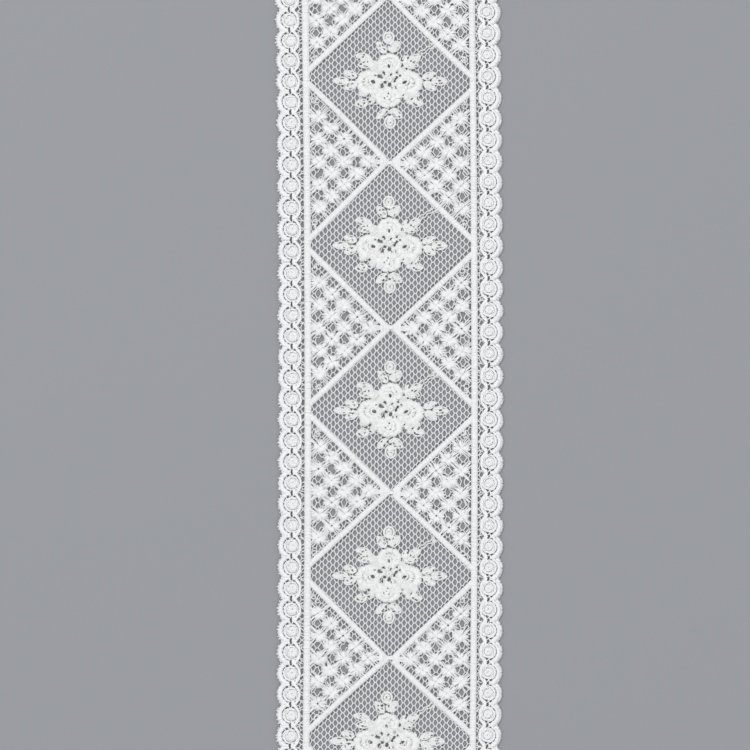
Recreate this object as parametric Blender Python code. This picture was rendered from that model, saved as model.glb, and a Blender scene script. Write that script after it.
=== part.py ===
"""Embroidered tulle lace trim: a cut length of five diamond repeats, lying flat.

The strip lies on its underside with its length along Y. The ground is a flat sheet with a scalloped
outline. The embroidery lies on it: satin rails and zigzag lines, a ring-and-scallop edging down each
side, star fillings in the side triangles and a rose spray in each diamond.
"""

import math

import bmesh
import bpy
from mathutils import Matrix, Vector

MM = 0.001

# Driving dimensions of the strip, in millimetres
REPEAT = 54.1
DIAMONDS = 5
END_MARGIN = 4.0
STRIP_LENGTH = DIAMONDS * REPEAT + 2 * END_MARGIN
PATTERN_X = 0.2
BOW = 1.0
DRIFT = 0.4

# Heights above the surface that the strip lies on
GROUND_THICKNESS = 1.0
STITCH_GAP = 0.3
STITCH_BASE = GROUND_THICKNESS + STITCH_GAP
LINE_TOP = 2.0

# Satin rails and zigzag lines: where each zigzag turns back at a crossing, how far the blunt diamonds
# between them reach to each side, and how far apart two diamonds are at a crossing
RAIL_X = 27.2
RAIL_WIDTH = 2.0
LINE_WIDTH = 1.9
LINE_SLOPE = 0.972
LINE_TURN_X = 1.28
DIAMOND_REACH = 25.8
DIAMOND_GAP = 1.2

# Ring-and-scallop edging
BUTTON_X = 31.85
SCALLOP_RADIUS = 4.75
SCALLOP_STEPS = 4
CORD_REACH = 2.95
CORD_WAIST = 2.2
BAND_CREST = (3.15, 1.95)
CREST_MARGIN = 0.2
RING_GROOVE = (2.5, 1.5)
BUTTON_TOP = 2.1
SCALLOP_EDGE_TOP = 1.75
GROUND_INSET = 0.35
GROUND_SCALLOP_STEPS = 3
GROUND_END_TRIM = 0.5

# Side, scallop pitch, the place of one button along the strip, and how far the edging has slipped
EDGINGS = (
    # name, side, pitch, first, slip
    ("left", -1, 6.90, 127.8, 0.2),
    ("right", 1, 6.97, 130.7, 1.4),
)
SLIP_MIDDLE = -25.0
SLIP_SPAN = 150.0

# Star filling: columns of stars from the rail towards the crossing
STAR_COLUMNS = 5
STAR_FIRST_X = 3.6
STAR_STEP_X = 4.1
STAR_STEP_Y = 3.72
STAR_RADIUS = 2.1
PETAL_HALF_ANGLE = math.radians(25)
STAR_HEIGHTS = {"middle": 1.95, "petal": 2.05, "thread": 1.62, "net": 1.45}
RAIL_CLEARANCE = 0.35

# Roses of a spray: middle of the bloom and of its eye, from the middle of the diamond
ROSES = (
    # x, y, eye x, eye y, turn in degrees
    (-0.2, 5.1, -0.1, 4.5, 0),
    (-6.5, -0.9, -5.6, -0.6, 14),
    (6.3, -1.2, 5.1, -0.9, 22),
    (-0.4, -5.9, -0.6, -5.6, 9),
)
ROSE_STEPS = 9
# Radius and height of each ring of a rose, from its rim inwards, and the height of its eye
ROSE_RINGS = ((4.7, 1.7), (3.7, 2.1), (2.1, 1.8))
ROSE_EYE = 2.15

# Leaves and buds of a spray: place of the middle, length, width and direction of the tip in degrees
LEAVES = (
    # x, y, length, width, direction
    (-0.1, 14.0, 4.2, 3.6, 90),
    (-2.2, 11.0, 4.4, 2.4, 128),
    (2.2, 11.0, 4.2, 2.9, 48),
    (-8.8, 7.6, 5.4, 2.5, 156),
    (-7.3, 5.5, 5.6, 2.7, 172),
    (8.5, 6.9, 5.0, 2.5, 30),
    (7.5, 4.8, 5.4, 2.6, 4),
    (-15.7, -0.4, 5.6, 2.5, 180),
    (-12.7, 1.0, 4.6, 2.5, 148),
    (-12.5, -2.0, 4.6, 2.5, 212),
    (16.4, -0.6, 5.6, 2.7, 0),
    (13.1, 1.1, 4.8, 2.6, 35),
    (13.0, -2.1, 4.6, 2.6, -32),
    (-8.7, -7.7, 4.6, 3.0, 203),
    (9.2, -7.4, 4.6, 3.0, -25),
    (0.0, -14.2, 4.0, 3.8, -90),
    (-2.0, -11.4, 4.4, 2.3, 232),
    (1.9, -11.3, 4.4, 2.5, -38),
    (0.0, -0.5, 5.0, 5.0, 0),
)
LEAF_SIDES = 6
LEAF_TOP = 1.95
LEAF_PINCH = 1.1

# Stems that join the leaves to the roses
STEMS = (
    # from x, y, to x, y
    (-0.2, 8.5, -0.1, 13.5),
    (-10.5, -0.6, -15.0, -0.4),
    (10.3, -0.8, 15.5, -0.6),
    (-0.4, -9.5, 0.0, -13.6),
    (-5.5, -5.0, -8.6, -7.4),
    (5.8, -5.0, 9.0, -7.4),
    (-3.2, 5.6, -8.0, 7.3),
    (3.2, 5.8, 7.6, 6.6),
)
STEM_WIDTH = 0.9
STEM_TOP = 1.75

# Colour and roughness of each finish
FINISHES = {
    "net": ((0.80, 0.80, 0.79), 0.75),
    "line": ((0.86, 0.86, 0.85), 0.55),
    "edging": ((0.86, 0.86, 0.84), 0.55),
    "star": ((0.85, 0.85, 0.84), 0.60),
    "rose": ((0.88, 0.87, 0.84), 0.55),
}


def clear_scene():
    for item in list(bpy.data.objects):
        bpy.data.objects.remove(item, do_unlink=True)


def new_collection(name):
    collection = bpy.data.collections.new(name)
    bpy.context.scene.collection.children.link(collection)
    return collection


def new_finish(name):
    colour, roughness = FINISHES[name]
    material = bpy.data.materials.new(name + "_thread")
    material.use_nodes = True
    shader = material.node_tree.nodes["Principled BSDF"]
    shader.inputs["Base Color"].default_value = (*colour, 1.0)
    shader.inputs["Roughness"].default_value = roughness
    shader.inputs["Metallic"].default_value = 0.0
    return material


def lay(x, y):
    """Where a point of the straight pattern lies: the strip bows a little and is slightly stretched."""
    half = STRIP_LENGTH / 2
    bowed = x + BOW * (0.5 - (y / half) ** 2)
    drifted = y + DRIFT * (math.cos(math.pi * y / STRIP_LENGTH) if abs(y) < half else 0.0)
    return bowed, drifted


def add_piece(name, solid, finish, place=(0.0, 0.0)):
    """Lay a solid drawn in millimetres about its place, and add it as an object standing there."""
    at_x, at_y = lay(*place)
    for vert in solid.verts:
        x, y = lay(place[0] + vert.co.x, place[1] + vert.co.y)
        vert.co = Vector((x - at_x, y - at_y, vert.co.z)) * MM
    large = [face for face in solid.faces if len(face.verts) > 4]
    bmesh.ops.triangulate(solid, faces=large, ngon_method="BEAUTY")
    mesh = bpy.data.meshes.new(name)
    solid.to_mesh(mesh)
    solid.free()
    mesh.materials.append(finish)
    piece = bpy.data.objects.new(name, mesh)
    piece.location = (at_x * MM, at_y * MM, 0.0)
    lace.objects.link(piece)
    return piece


def flat_solid(outlines, bottom, top):
    """Extrude closed outlines, of which the inner ones are windows, into one welded solid."""
    curve = bpy.data.curves.new("outline", "CURVE")
    curve.dimensions = "2D"
    curve.fill_mode = "BOTH"
    curve.extrude = (top - bottom) / 2
    for outline in outlines:
        spline = curve.splines.new("POLY")
        spline.points.add(len(outline) - 1)
        for point, (x, y) in zip(spline.points, outline):
            point.co = (x, y, 0.0, 1.0)
        spline.use_cyclic_u = True
    holder = bpy.data.objects.new("outline", curve)
    helpers.objects.link(holder)
    mesh = bpy.data.meshes.new_from_object(holder.evaluated_get(bpy.context.evaluated_depsgraph_get()))
    solid = bmesh.new()
    solid.from_mesh(mesh)
    bmesh.ops.remove_doubles(solid, verts=solid.verts, dist=0.001)
    bmesh.ops.translate(solid, verts=solid.verts, vec=(0.0, 0.0, (top + bottom) / 2))
    bpy.data.objects.remove(holder, do_unlink=True)
    return solid


def face_outward(solid):
    bmesh.ops.recalc_face_normals(solid, faces=solid.faces)
    if solid.calc_volume(signed=True) < 0:
        bmesh.ops.reverse_faces(solid, faces=solid.faces)


def cut_ends(solid):
    """Cut a solid plainly at both ends of the strip and close the cuts."""
    for end in (-1, 1):
        geometry = solid.verts[:] + solid.edges[:] + solid.faces[:]
        cut = bmesh.ops.bisect_plane(
            solid, geom=geometry, dist=0.0001, clear_outer=True,
            plane_co=(0.0, end * STRIP_LENGTH / 2, 0.0), plane_no=(0.0, end, 0.0))
        edges = [item for item in cut["geom_cut"] if isinstance(item, bmesh.types.BMEdge)]
        bmesh.ops.edgeloop_fill(solid, edges=edges)
    face_outward(solid)


def scallop_row(side, pitch, first):
    """Places of the buttons along one edge that touch the strip, from top to bottom."""
    reach = STRIP_LENGTH / 2 + pitch / 2
    start = first + pitch * math.floor((reach - first) / pitch)
    count = math.ceil((start + reach) / pitch)
    return [(side * BUTTON_X, start - step * pitch) for step in range(count)]


def slipped(y, slip):
    """Where a point of an edging lies along the strip: part of the edging has slipped down a little."""
    return y - slip * max(0.0, math.cos(math.pi * (y - SLIP_MIDDLE) / SLIP_SPAN))


def scallop_arc(radius, pitch, steps):
    """Points of a scallop about its button, from its lower notch to its upper one."""
    half_angle = math.asin(pitch / 2 / radius)
    turns = [half_angle * (2 * step / steps - 1) for step in range(steps + 1)]
    return [(radius * math.cos(turn), radius * math.sin(turn)) for turn in turns]


def ground_edge(side, pitch, first, slip):
    """The scalloped edge of the ground down one side, from the top of the strip to its bottom."""
    half = STRIP_LENGTH / 2
    points = []
    for x, y in scallop_row(side, pitch, first):
        arc = scallop_arc(SCALLOP_RADIUS - GROUND_INSET, pitch, GROUND_SCALLOP_STEPS)
        points += [(x + side * dx, slipped(y + dy, slip)) for dx, dy in reversed(arc[1:])]
    inside = [point for point in points if abs(point[1]) < half - GROUND_END_TRIM]
    return [(inside[0][0], half), *inside, (inside[-1][0], -half)]


def make_ground():
    """The net strip as a flat sheet, cut along the scallops, just inside the stitched edge."""
    left, right = [ground_edge(*row[1:]) for row in EDGINGS]
    solid = flat_solid([left + right[::-1]], 0.0, GROUND_THICKNESS)
    add_piece("tulle_ground", solid, finishes["net"])


def make_trellis():
    """Two rails and the zigzag lines between them, with a window for each diamond and triangle."""
    long_half = (DIAMONDS + 2) * REPEAT / 2
    rows = [-long_half + step * REPEAT / 2 for step in range(2 * DIAMONDS + 5)]
    outer = RAIL_X + RAIL_WIDTH / 2
    inner = RAIL_X - RAIL_WIDTH / 2
    line_reach = LINE_WIDTH / 2 * math.hypot(1.0, LINE_SLOPE)
    outlines = [[(outer, y) for y in rows] + [(-outer, y) for y in reversed(rows)]]
    for step in range(DIAMONDS + 1):
        crossing = (step - DIAMONDS / 2) * REPEAT
        base = (inner - LINE_TURN_X) * LINE_SLOPE - line_reach
        tip = LINE_TURN_X + line_reach / LINE_SLOPE
        for side in (-1, 1):
            window = [(tip, crossing), (inner, crossing + base), (inner, crossing - base)]
            outlines.append([(side * x, y) for x, y in window])
    # A diamond's sides would meet at this height, but it is blunt at all four corners
    peak = REPEAT / 2 + LINE_TURN_X * LINE_SLOPE - line_reach
    tall = (REPEAT - DIAMOND_GAP) / 2
    narrow = (peak - tall) / LINE_SLOPE
    blunt = peak - DIAMOND_REACH * LINE_SLOPE
    half = [(narrow, tall), (DIAMOND_REACH, blunt), (DIAMOND_REACH, -blunt), (narrow, -tall)]
    for step in range(DIAMONDS + 2):
        middle = (step - (DIAMONDS + 1) / 2) * REPEAT
        outlines.append([(x, middle + y) for x, y in half] + [(-x, middle + y) for x, y in reversed(half)])
    solid = flat_solid(outlines, STITCH_BASE, LINE_TOP)
    cut_ends(solid)
    add_piece("trellis_lines", solid, finishes["line"], (PATTERN_X, 0.0))


def ring_points(angles, radius, height):
    return [(radius * math.cos(turn), radius * math.sin(turn), height) for turn in angles]


def add_loft(solid, rings, middle):
    """Join rings of points, from the rim inwards, with faces, and close them on a middle point."""
    loops = [[solid.verts.new(point) for point in ring] for ring in rings]
    count = len(rings[0])
    for outer, inner in zip(loops, loops[1:]):
        for here in range(count):
            there = (here + 1) % count
            solid.faces.new((outer[here], outer[there], inner[there], inner[here]))
    peak = solid.verts.new(middle)
    for here in range(count):
        solid.faces.new((loops[-1][here], loops[-1][(here + 1) % count], peak))
    return loops[0]


def add_back(solid, rim, walls):
    """Close a raised shape with a flat back, and with a wall along the named sides of its rim."""
    back = [solid.verts.new((vert.co.x, vert.co.y, STITCH_BASE)) for vert in rim]
    solid.faces.new(back[::-1])
    for here in walls:
        there = (here + 1) % len(rim)
        solid.faces.new((back[here], back[there], rim[there], rim[here]))


def add_scallop(solid, at_x, at_y, side, pitch):
    """One unit of the edging: the scallop band, the groove and the raised button, on a flat back."""
    arc = scallop_arc(SCALLOP_RADIUS, pitch, SCALLOP_STEPS)
    rim = arc + [(-CORD_WAIST, pitch / 2), (-CORD_REACH, 0.0), (-CORD_WAIST, -pitch / 2)]
    angles = [math.atan2(y, x) for x, y in rim]
    # The crest of the band keeps inside the rim where the band narrows to the inner cord
    reaches = [min(BAND_CREST[0], math.hypot(x, y) - CREST_MARGIN) for x, y in rim]
    crest = [(reach * math.cos(turn), reach * math.sin(turn)) for reach, turn in zip(reaches, angles)]
    rings = [
        [(x, y, SCALLOP_EDGE_TOP) for x, y in rim],
        [(x, y, BAND_CREST[1]) for x, y in crest],
        ring_points(angles, *RING_GROOVE),
    ]
    placed = [[(at_x + side * x, at_y + y, z) for x, y, z in ring] for ring in rings]
    top = add_loft(solid, placed, (at_x, at_y, BUTTON_TOP))
    # The sides that meet the next units have no wall
    scallop_walls = list(range(SCALLOP_STEPS))
    cord_walls = [SCALLOP_STEPS + 1, SCALLOP_STEPS + 2]
    add_back(solid, top, scallop_walls + cord_walls)


def make_edging(name, side, pitch, first, slip):
    solid = bmesh.new()
    for x, y in scallop_row(side, pitch, first):
        add_scallop(solid, x, y, side, pitch)
    bmesh.ops.remove_doubles(solid, verts=solid.verts, dist=0.01)
    for vert in solid.verts:
        vert.co.y = slipped(vert.co.y, slip)
    cut_ends(solid)
    add_piece("edging_" + name, solid, finishes["edging"])


def star_places(low, high):
    """Star middles of a triangle, from its crossing: the columns get shorter away from the rail."""
    places = []
    for column in range(STAR_COLUMNS):
        stars = STAR_COLUMNS - column
        for step in range(stars):
            y = (2 * step - stars + 1) * STAR_STEP_Y
            if low < y < high:
                places.append((STAR_FIRST_X + column * STAR_STEP_X, y))
    return places


def add_star(solid, place):
    """One star on its lozenge of ground: four fan petals, slits, and threads to the next stars."""
    edge_x = RAIL_WIDTH / 2 + RAIL_CLEARANCE

    def point(x, y, height):
        return solid.verts.new((max(place[0] + x, edge_x), place[1] + y, height))

    middle = point(0.0, 0.0, STAR_HEIGHTS["middle"])
    under = point(0.0, 0.0, STITCH_BASE)
    petals, corners, threads, back = [], [], [], []
    for quarter in range(4):
        turn = quarter * math.pi / 2
        across, along = math.cos(turn), math.sin(turn)
        for bend in (-PETAL_HALF_ANGLE, PETAL_HALF_ANGLE):
            x = STAR_RADIUS * math.cos(turn + bend)
            y = STAR_RADIUS * math.sin(turn + bend)
            petals.append(point(x, y, STAR_HEIGHTS["petal"]))
        corner = (STAR_STEP_X * across, STAR_STEP_Y * along)
        thread = (STAR_STEP_X / 2 * (across - along), STAR_STEP_Y / 2 * (across + along))
        corners.append(point(*corner, STAR_HEIGHTS["net"]))
        threads.append(point(*thread, STAR_HEIGHTS["thread"]))
        back += [point(*corner, STITCH_BASE), point(*thread, STITCH_BASE)]
    for quarter in range(4):
        first, second = petals[2 * quarter], petals[2 * quarter + 1]
        following = petals[(2 * quarter + 2) % 8]
        corner, after = corners[quarter], corners[(quarter + 1) % 4]
        thread = threads[quarter]
        for face in (
            (middle, first, second), (middle, second, thread), (middle, thread, following),
            (first, corner, second), (second, corner, thread), (thread, after, following),
        ):
            solid.faces.new(face)
    for here in range(8):
        solid.faces.new((under, back[(here + 1) % 8], back[here]))


def make_star_filling(name, side, crossing, low, high):
    """All stars of one triangle, fused where their lozenges meet, with a wall round them all."""
    solid = bmesh.new()
    for place in star_places(low, high):
        add_star(solid, place)
    bmesh.ops.remove_doubles(solid, verts=solid.verts, dist=0.01)
    bmesh.ops.bridge_loops(solid, edges=[edge for edge in solid.edges if edge.is_boundary])
    for vert in solid.verts:
        vert.co.x = side * (RAIL_X - vert.co.x)
    face_outward(solid)
    add_piece(name, solid, finishes["star"], (PATTERN_X, crossing))


def helper_object(name, solid, collection):
    mesh = bpy.data.meshes.new(name)
    solid.to_mesh(mesh)
    solid.free()
    item = bpy.data.objects.new(name, mesh)
    item.hide_render = True
    item.display_type = "WIRE"
    collection.objects.link(item)
    return item


def rose_solid(x, y, eye_x, eye_y, turn):
    """A rose: rings of petals, each turned half a step against the last and nearer to the eye."""
    solid = bmesh.new()
    rings = []
    for index, (radius, height) in enumerate(ROSE_RINGS):
        start = math.radians(turn) + index * math.pi / ROSE_STEPS
        angles = [start + 2 * math.pi * step / ROSE_STEPS for step in range(ROSE_STEPS)]
        pull = index / len(ROSE_RINGS)
        at_x, at_y = x + pull * (eye_x - x), y + pull * (eye_y - y)
        rings.append([(at_x + px, at_y + py, pz) for px, py, pz in ring_points(angles, radius, height)])
    add_back(solid, add_loft(solid, rings, (eye_x, eye_y, ROSE_EYE)), range(ROSE_STEPS))
    return solid


def leaf_solid(x, y, length, width, direction):
    """A leaf: a low cone, drawn out to its length and pinched to a point at its tip."""
    solid = bmesh.new()
    height = LEAF_TOP - STITCH_BASE
    bmesh.ops.create_cone(solid, cap_ends=True, segments=LEAF_SIDES, radius1=0.5, radius2=0.0, depth=height)
    for vert in solid.verts:
        pinch = 1.0 - LEAF_PINCH * max(vert.co.x, 0.0)
        vert.co = (vert.co.x * length, vert.co.y * width * pinch, vert.co.z)
    middle = Matrix.Translation((x, y, STITCH_BASE + height / 2))
    turn = Matrix.Rotation(math.radians(direction), 4, "Z")
    bmesh.ops.transform(solid, verts=solid.verts, matrix=middle @ turn)
    return solid


def stem_solid(x, y, to_x, to_y):
    solid = bmesh.new()
    bmesh.ops.create_cube(solid, size=1.0)
    span = Vector((to_x - x, to_y - y, 0.0))
    size = Matrix.Diagonal((span.length, STEM_WIDTH, STEM_TOP - STITCH_BASE, 1.0))
    turn = Matrix.Rotation(math.atan2(span.y, span.x), 4, "Z")
    middle = Matrix.Translation(((x + to_x) / 2, (y + to_y) / 2, (STEM_TOP + STITCH_BASE) / 2))
    bmesh.ops.transform(solid, verts=solid.verts, matrix=middle @ turn @ size)
    return solid


def make_spray_solid():
    """Four roses, leaves, buds and stems joined into one solid, drawn about the diamond's middle."""
    pieces = new_collection("spray_pieces")
    base = helper_object("rose", rose_solid(*ROSES[0]), helpers)
    for row in ROSES[1:]:
        helper_object("rose", rose_solid(*row), pieces)
    for row in LEAVES:
        helper_object("leaf", leaf_solid(*row), pieces)
    for row in STEMS:
        helper_object("stem", stem_solid(*row), pieces)
    join = base.modifiers.new("join", "BOOLEAN")
    join.operation = "UNION"
    join.operand_type = "COLLECTION"
    join.collection = pieces
    join.solver = "EXACT"
    mesh = bpy.data.meshes.new_from_object(base.evaluated_get(bpy.context.evaluated_depsgraph_get()))
    solid = bmesh.new()
    solid.from_mesh(mesh)
    bmesh.ops.remove_doubles(solid, verts=solid.verts, dist=0.005)
    bmesh.ops.dissolve_limit(solid, verts=solid.verts, edges=solid.edges, angle_limit=math.radians(0.5))
    for item in [base, *pieces.objects]:
        bpy.data.objects.remove(item, do_unlink=True)
    bpy.data.collections.remove(pieces)
    return solid


clear_scene()
lace = new_collection("embroidered_tulle_lace_trim")
helpers = new_collection("helpers")
finishes = {name: new_finish(name) for name in FINISHES}

make_ground()
make_trellis()
for row in EDGINGS:
    make_edging(*row)
for number in range(1, DIAMONDS + 2):
    crossing = (DIAMONDS / 2 - number + 1) * REPEAT
    high = 0.1 if number == 1 else REPEAT
    low = -0.1 if number == DIAMONDS + 1 else -REPEAT
    make_star_filling(f"star_filling_left_{number}", -1, crossing, low, high)
    make_star_filling(f"star_filling_right_{number}", 1, crossing, low, high)
spray = make_spray_solid()
for number in range(1, DIAMONDS + 1):
    middle = (DIAMONDS / 2 - number + 0.5) * REPEAT
    add_piece(f"rose_spray_{number}", spray.copy(), finishes["rose"], (PATTERN_X, middle))
spray.free()
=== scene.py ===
# %% [markdown]
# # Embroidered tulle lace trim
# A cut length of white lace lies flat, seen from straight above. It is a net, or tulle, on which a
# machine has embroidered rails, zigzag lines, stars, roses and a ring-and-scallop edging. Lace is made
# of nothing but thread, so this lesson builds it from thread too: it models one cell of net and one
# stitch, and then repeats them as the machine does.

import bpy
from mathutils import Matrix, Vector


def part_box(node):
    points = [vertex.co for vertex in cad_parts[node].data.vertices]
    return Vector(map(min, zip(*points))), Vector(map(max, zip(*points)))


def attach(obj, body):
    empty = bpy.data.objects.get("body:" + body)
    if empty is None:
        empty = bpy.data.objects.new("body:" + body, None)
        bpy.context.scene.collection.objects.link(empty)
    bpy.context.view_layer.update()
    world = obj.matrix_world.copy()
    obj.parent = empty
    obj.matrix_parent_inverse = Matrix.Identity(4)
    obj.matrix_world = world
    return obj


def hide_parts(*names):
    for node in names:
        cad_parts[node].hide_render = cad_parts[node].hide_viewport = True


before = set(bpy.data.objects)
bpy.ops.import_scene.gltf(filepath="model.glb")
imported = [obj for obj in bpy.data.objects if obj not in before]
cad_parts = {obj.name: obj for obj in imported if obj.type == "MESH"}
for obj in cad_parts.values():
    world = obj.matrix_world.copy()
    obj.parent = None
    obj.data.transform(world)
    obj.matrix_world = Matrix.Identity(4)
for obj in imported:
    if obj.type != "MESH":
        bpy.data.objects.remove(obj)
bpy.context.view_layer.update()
print("frame nodes:", len(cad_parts))

# %% [markdown]
# ## Sizes
# The pattern is drawn straight, in millimetres, about the middle of the strip, and its length runs
# along Y. A real strip never lies quite straight, so every point is laid at the end: the strip bows a
# little to one side, and its middle is slightly stretched.

# %% Sizes of the strip
import math

import bmesh
import bpy
import numpy as np

MM = 0.001
rng = np.random.default_rng(11)

REPEAT = 54.1
DIAMONDS = 5
HALF = DIAMONDS * REPEAT / 2 + 4.0
PATTERN_X = 0.2
BOW = 1.0
DRIFT = 0.4


def lay(x, y):
    """Where points of the straight pattern lie on the table."""
    bowed = x + BOW * (0.5 - (y / HALF) ** 2)
    drifted = y + DRIFT * np.cos(math.pi * np.clip(y, -HALF, HALF) / (2 * HALF))
    return bowed, drifted


low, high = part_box("tulle_ground")
print(f"strip {2 * HALF:.1f} mm long, ground {1000 * (high.x - low.x):.1f} mm wide")

# %% [markdown]
# ## Thread
# Embroidery thread is white and slightly shiny, and the net's thread is finer and a little greyer. A
# flat white would look like plastic. So the colour moves between a clean and a slightly shaded white:
# a little from stitch to stitch, by a tone that each stitch carries, and a little over the strip. The
# relief is the twist of the plies, which follows each stitch through its UV map, and some fuzz.

# %% Thread finishes
PLY_TURNS = 3.2


def thread_finish(name, clean, shaded, roughness, twist, fuzz):
    """A white thread: tone and slow patches mix two whites, and plies and fuzz make the relief."""
    finish = bpy.data.materials.new(name)
    finish.use_nodes = True
    nodes, links = finish.node_tree.nodes, finish.node_tree.links

    def feed(node, **sockets):
        """Set sockets of a node, each to a value or to what another node gives."""
        for socket, value in sockets.items():
            if isinstance(value, bpy.types.NodeSocket):
                links.new(value, node.inputs[socket])
            else:
                node.inputs[socket].default_value = value

    shader = nodes["Principled BSDF"]
    place, tone, patches, both, whites, plies, down, fine, relief = (
        nodes.new("ShaderNode" + kind) for kind in (
            "TexCoord", "Attribute", "TexNoise", "Math", "Mix", "TexWave", "TexNoise", "Bump", "Bump"))
    tone.attribute_name = "tone"
    both.operation = "MULTIPLY_ADD"
    whites.data_type = "RGBA"
    plies.bands_direction = "DIAGONAL"
    feed(patches, Scale=160.0, Vector=place.outputs["Object"])
    both.inputs[1].default_value = 0.6
    links.new(patches.outputs["Fac"], both.inputs[0])
    links.new(tone.outputs["Fac"], both.inputs[2])
    feed(whites, A=(*shaded, 1.0), B=(*clean, 1.0), Factor=both.outputs[0])
    feed(plies, Scale=PLY_TURNS, Distortion=0.4, Vector=place.outputs["UV"])
    feed(down, Scale=9000.0, Detail=3.0, Vector=place.outputs["Object"])
    feed(fine, Strength=fuzz, Distance=0.05 * MM, Height=down.outputs["Fac"])
    feed(relief, Strength=twist, Distance=0.06 * MM)
    feed(relief, Height=plies.outputs["Fac"], Normal=fine.outputs["Normal"])
    feed(shader, Roughness=roughness, Normal=relief.outputs["Normal"], **{
        "Sheen Weight": 0.25, "Sheen Roughness": 0.4, "Base Color": whites.outputs["Result"]})
    return finish


WHITES = {
    # clean white, shaded white, roughness, twist, fuzz
    "net": ((0.9, 0.9, 0.9), (0.83, 0.83, 0.835), 0.6, 0.0, 0.4),
    # painted light: the line and edging whites are brighter than the star and rose whites, standing in for
    # the extra light that the flat, upward satin of the rails, zigzags and scallops catches
    "line": ((0.96, 0.96, 0.95), (0.9, 0.9, 0.895), 0.48, 0.25, 0.3),
    "edging": ((0.96, 0.96, 0.95), (0.9, 0.9, 0.89), 0.48, 0.25, 0.3),
    "star": ((0.93, 0.93, 0.92), (0.85, 0.85, 0.845), 0.5, 0.25, 0.3),
    "rose": ((0.93, 0.925, 0.91), (0.87, 0.86, 0.83), 0.48, 0.25, 0.3),
}
finishes = {slot: thread_finish(f"{slot}_thread", *values) for slot, values in WHITES.items()}
print("finishes:", ", ".join(finishes))

# %% [markdown]
# ## The net
# Machine net is a honeycomb: rows of six-sided cells that are taller than they are wide, with short
# level walls and long leaning ones. A picture of holes on a flat sheet would look right only from
# above, so here the cells are real. One hexagon is drawn as a circle of six points and pulled to its
# shape, a second one is placed in the gap beside it, and two arrays repeat the pair over the strip.

# %% One pair of cells, repeated over the strip
CELL_PITCH = (2.392, 2.255)
CELL_WALL = 0.29
NET_THREAD = 0.43
NET_HALF = 30.6


def deselect_all():
    if bpy.context.object and bpy.context.object.mode != "OBJECT":
        bpy.ops.object.mode_set(mode="OBJECT")
    bpy.ops.object.select_all(action="DESELECT")


def select_parts(kind, test):
    """In edit mode, select the verts, edges or faces whose middle passes the test."""
    bpy.ops.mesh.select_all(action="DESELECT")
    bpy.ops.mesh.select_mode(type={"verts": "VERT", "edges": "EDGE", "faces": "FACE"}[kind])
    shape = bmesh.from_edit_mesh(bpy.context.object.data)
    for part in getattr(shape, kind):
        corners = [part.co] if kind == "verts" else [vert.co for vert in part.verts]
        middle = sum((corner.xyz for corner in corners), corners[0] * 0.0) / len(corners)
        if test(middle):
            part.select_set(True)
    shape.select_flush_mode()
    bmesh.update_edit_mesh(bpy.context.object.data)


def start_net():
    """Two neighbouring cells, drawn as the seed of the net."""
    deselect_all()
    side_reach = CELL_PITCH[0] / 2 - CELL_WALL
    bpy.ops.mesh.primitive_circle_add(
        vertices=6, radius=side_reach * MM, fill_type="NGON", rotation=(0, 0, math.pi / 2))
    net = bpy.context.object
    net.name = "tulle_net"
    bpy.ops.object.transform_apply(location=True, rotation=True, scale=True)
    bpy.ops.object.mode_set(mode="EDIT")
    select_parts("verts", lambda at: abs(at.y) > 0.1 * MM)
    lean = math.cos(math.pi / 3) * side_reach, math.sin(math.pi / 3) * side_reach
    bpy.ops.transform.resize(value=(CELL_WALL / lean[0], CELL_PITCH[1] / 2 / lean[1], 1.0))
    bpy.ops.mesh.select_all(action="SELECT")
    bpy.ops.mesh.duplicate_move(
        TRANSFORM_OT_translate={"value": (CELL_PITCH[0] / 2 * MM, CELL_PITCH[1] / 2 * MM, 0.0)})
    bpy.ops.object.mode_set(mode="OBJECT")
    return net


def repeat(piece, axis, step, count):
    """Repeat a piece along one axis with an array that merges where the copies touch."""
    array = piece.modifiers.new("repeat", "ARRAY")
    array.count = count
    array.use_relative_offset = False
    array.use_constant_offset = True
    array.constant_offset_displace = [step * MM if axis == index else 0.0 for index in range(3)]
    array.use_merge_vertices = True
    array.merge_threshold = 0.02 * MM
    bpy.ops.object.modifier_apply(modifier=array.name)


net = start_net()
columns = 2 * math.ceil(NET_HALF / CELL_PITCH[0]) + 1
rows = 2 * math.ceil(HALF / CELL_PITCH[1]) + 1
repeat(net, 0, CELL_PITCH[0], columns)
repeat(net, 1, CELL_PITCH[1], rows)
bpy.ops.object.mode_set(mode="EDIT")
bpy.ops.mesh.select_all(action="SELECT")
bpy.ops.transform.translate(
    value=(-(columns - 1) / 2 * CELL_PITCH[0] * MM, -(rows - 1) / 2 * CELL_PITCH[1] * MM, 0.0))
bpy.ops.mesh.remove_doubles(threshold=0.02 * MM)
NET_END = HALF - CELL_PITCH[1] / 2
select_parts("faces", lambda at: abs(at.x) > NET_HALF * MM or abs(at.y) > NET_END * MM)
bpy.ops.mesh.delete(type="FACE")
bpy.ops.object.mode_set(mode="OBJECT")
print("net cells:", len(net.data.polygons))

# %% [markdown]
# ## The openings of a spray
# Each diamond holds a spray of four roses. Three of them have an open eye, and between the roses the
# needle has torn larger holes. The net is cut away there: two cells become one where the wall between
# them would cross an opening. The places are named here, before the net gets its thickness, because
# both the net and the stitches need them.

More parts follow.
